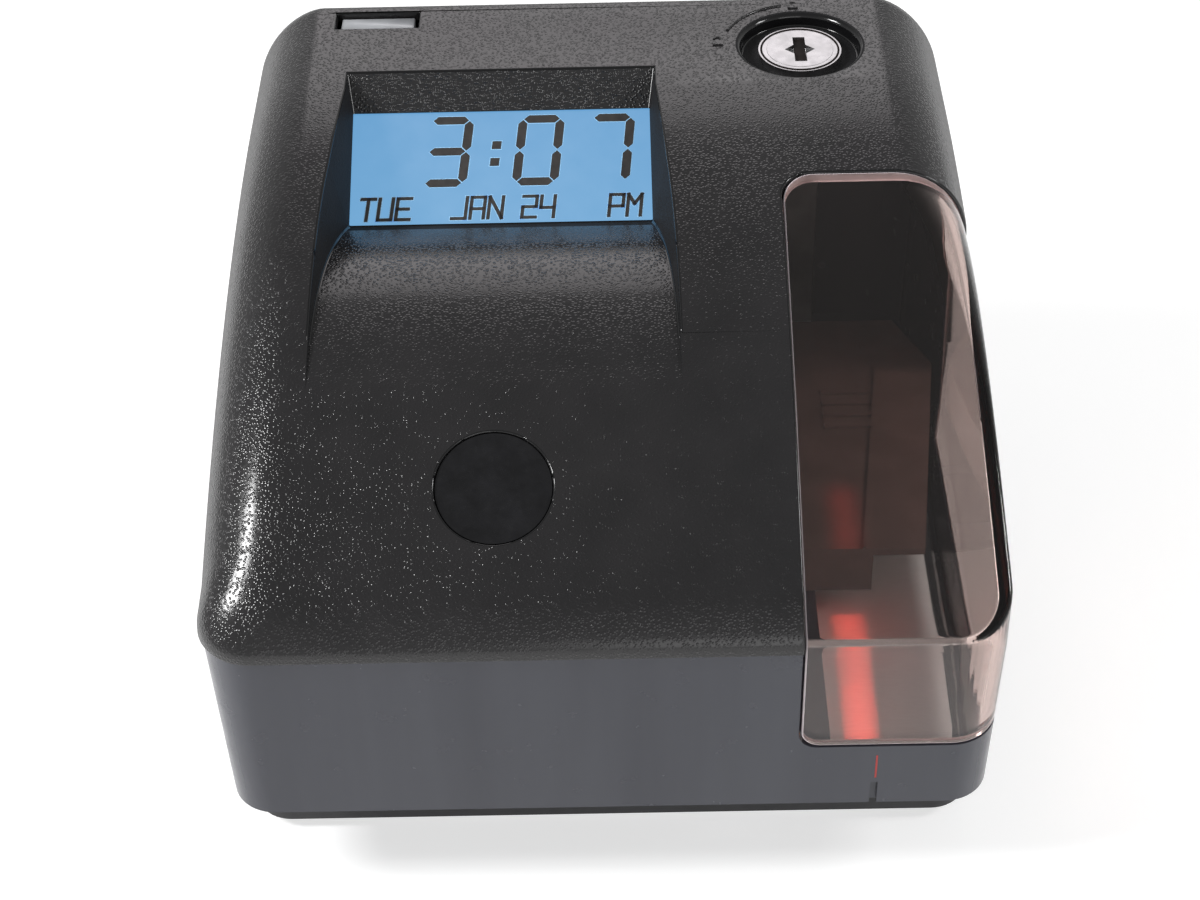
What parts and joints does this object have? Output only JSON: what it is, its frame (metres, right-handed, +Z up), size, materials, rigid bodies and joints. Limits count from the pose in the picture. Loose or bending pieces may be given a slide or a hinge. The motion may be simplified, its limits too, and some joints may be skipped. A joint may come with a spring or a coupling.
{
  "type": "time clock",
  "caption": "Desktop time clock with a tilted display, keyed lift-off cover, smoked corner window and a travelling print head over an open card throat.",
  "frame": {"origin": "on the table under the middle of the case, level with the bottom of the feet", "axes": "+Z up, -Y out of the front where the card goes in, +X to the side with the smoked window"},
  "size_m": [0.166, 0.175, 0.121],
  "materials": {
    "cover_plastic": "fine pebble grain",
    "housing_plastic": "satin",
    "base_plastic": "satin",
    "smoked_clear": "polished smoked acrylic",
    "feet_rubber": "matte",
    "platen_steel": "satin",
    "bright_steel": "turned",
    "sheet_steel": "zinc plated",
    "lock_chrome": "polished",
    "latch_grey": "gloss",
    "badge_metal": "gloss",
    "circuit_green": "solder mask",
    "part_black": "matte",
    "part_blue": "gloss sleeve",
    "part_ivory": "satin",
    "brass_post": "turned",
    "key_red": "satin",
    "key_white": "satin",
    "lcd_blue": "polished",
    "backlight_white": "satin",
    "cassette_plastic": "satin",
    "ribbon_fabric": "inked",
    "lamp_red": "clear tinted",
    "knob_blue": "satin",
    "belt_rubber": "matte",
    "motor_metal": "satin",
    "head_aluminium": "cast"
  },
  "bodies": {
    "base": {"base_shell": "base_plastic", "bottom_plate": "sheet_steel", "bottom_screws": "bright_steel", "rubber_feet": "feet_rubber", "platen_plate": "platen_steel", "anvil_block": "sheet_steel", "rear_spacer": "base_plastic", "frame_screws": "bright_steel", "lower_housing": "housing_plastic", "power_inlet": "part_black", "inlet_nut": "bright_steel", "latch_post": "latch_grey", "lock_keeper": "sheet_steel", "main_board": "circuit_green", "board_standoffs": "brass_post", "board_screws": "bright_steel", "board_chips": "part_black", "capacitors": "part_blue", "buzzer": "part_black", "battery_holder": "part_black", "backup_battery": "bright_steel", "cable_socket": "part_ivory", "key_switches": "part_black", "display_stand": "part_black", "display_board": "circuit_green", "backlight_panel": "backlight_white", "lcd_glass": "lcd_blue", "lcd_bezel": "part_black", "display_cable": "part_ivory", "printer_frame": "sheet_steel", "guide_rods": "bright_steel", "chassis_screws": "bright_steel", "drive_motor": "motor_metal", "idler_pin": "bright_steel", "drive_belt": "belt_rubber", "lever_bracket": "sheet_steel", "lever_pin": "bright_steel"},
    "cover": {"top_cover": "cover_plastic", "smoked_window": "smoked_clear", "badge_disc": "badge_metal", "lock_shell": "lock_chrome", "lock_nut": "bright_steel"},
    "lock": {"lock_plug": "lock_chrome", "lock_cam": "sheet_steel", "cam_screw": "bright_steel"},
    "carriage": {"carriage": "part_black", "print_head": "head_aluminium", "print_nose": "brass_post", "cassette_body": "cassette_plastic", "cassette_lid": "cassette_plastic", "ink_ribbon": "ribbon_fabric", "sight_lamp": "lamp_red"},
    "ribbon_knob": {"ribbon_knob": "knob_blue"},
    "motor_pulley": {"motor_pulley": "part_ivory"},
    "idler_pulley": {"idler_pulley": "part_ivory"},
    "card_lever": {"card_lever": "part_ivory"},
    "mode_key": {"mode_key": "key_red"},
    "set_key": {"set_key": "key_white"},
    "advance_key": {"advance_key": "key_white"}
  },
  "joints": [
    {"name": "cover_lift", "type": "slide", "parent": "base", "child": "cover", "axis": [0, 0, 1], "range_m": [0, 0.1]},
    {"name": "lock_turn", "type": "hinge", "parent": "cover", "child": "lock", "pos_m": [0.047, 0.0605, 0.1], "axis": [0, 0, 1], "range_deg": [0, 90]},
    {"name": "carriage_slide", "type": "slide", "parent": "base", "child": "carriage", "axis": [0, 1, 0], "range_m": [-0.024, 0]},
    {"name": "motor_spin", "type": "hinge", "parent": "base", "child": "motor_pulley", "pos_m": [0.0175, -0.036, 0.04], "axis": [1, 0, 0], "range_deg": [-10, 276]},
    {"name": "idler_spin", "type": "hinge", "parent": "base", "child": "idler_pulley", "pos_m": [0.0175, 0.008, 0.04], "axis": [1, 0, 0], "range_deg": [-10, 276]},
    {"name": "ribbon_turn", "type": "hinge", "parent": "carriage", "child": "ribbon_knob", "pos_m": [0.0298, 0.014, 0.06], "axis": [0, 0, 1], "continuous": true},
    {"name": "lever_swing", "type": "hinge", "parent": "base", "child": "card_lever", "pos_m": [-0.0072, -0.003, 0.031], "axis": [1, 0, 0], "range_deg": [0, 40], "stiffness_Nm_per_rad": 0.002, "springref_deg": -5.73},
    {"name": "mode_press", "type": "slide", "parent": "base", "child": "mode_key", "axis": [0, 0, -1], "range_m": [0, 0.001], "stiffness_N_per_m": 600, "springref_m": -0.001},
    {"name": "set_press", "type": "slide", "parent": "base", "child": "set_key", "axis": [0, 0, -1], "range_m": [0, 0.001], "stiffness_N_per_m": 600, "springref_m": -0.001},
    {"name": "advance_press", "type": "slide", "parent": "base", "child": "advance_key", "axis": [0, 0, -1], "range_m": [0, 0.001], "stiffness_N_per_m": 600, "springref_m": -0.001}
  ],
  "couplings": [
    {"joint": "motor_spin", "follows": "carriage_slide", "rad_per_m": -200},
    {"joint": "idler_spin", "follows": "carriage_slide", "rad_per_m": -200}
  ]
}
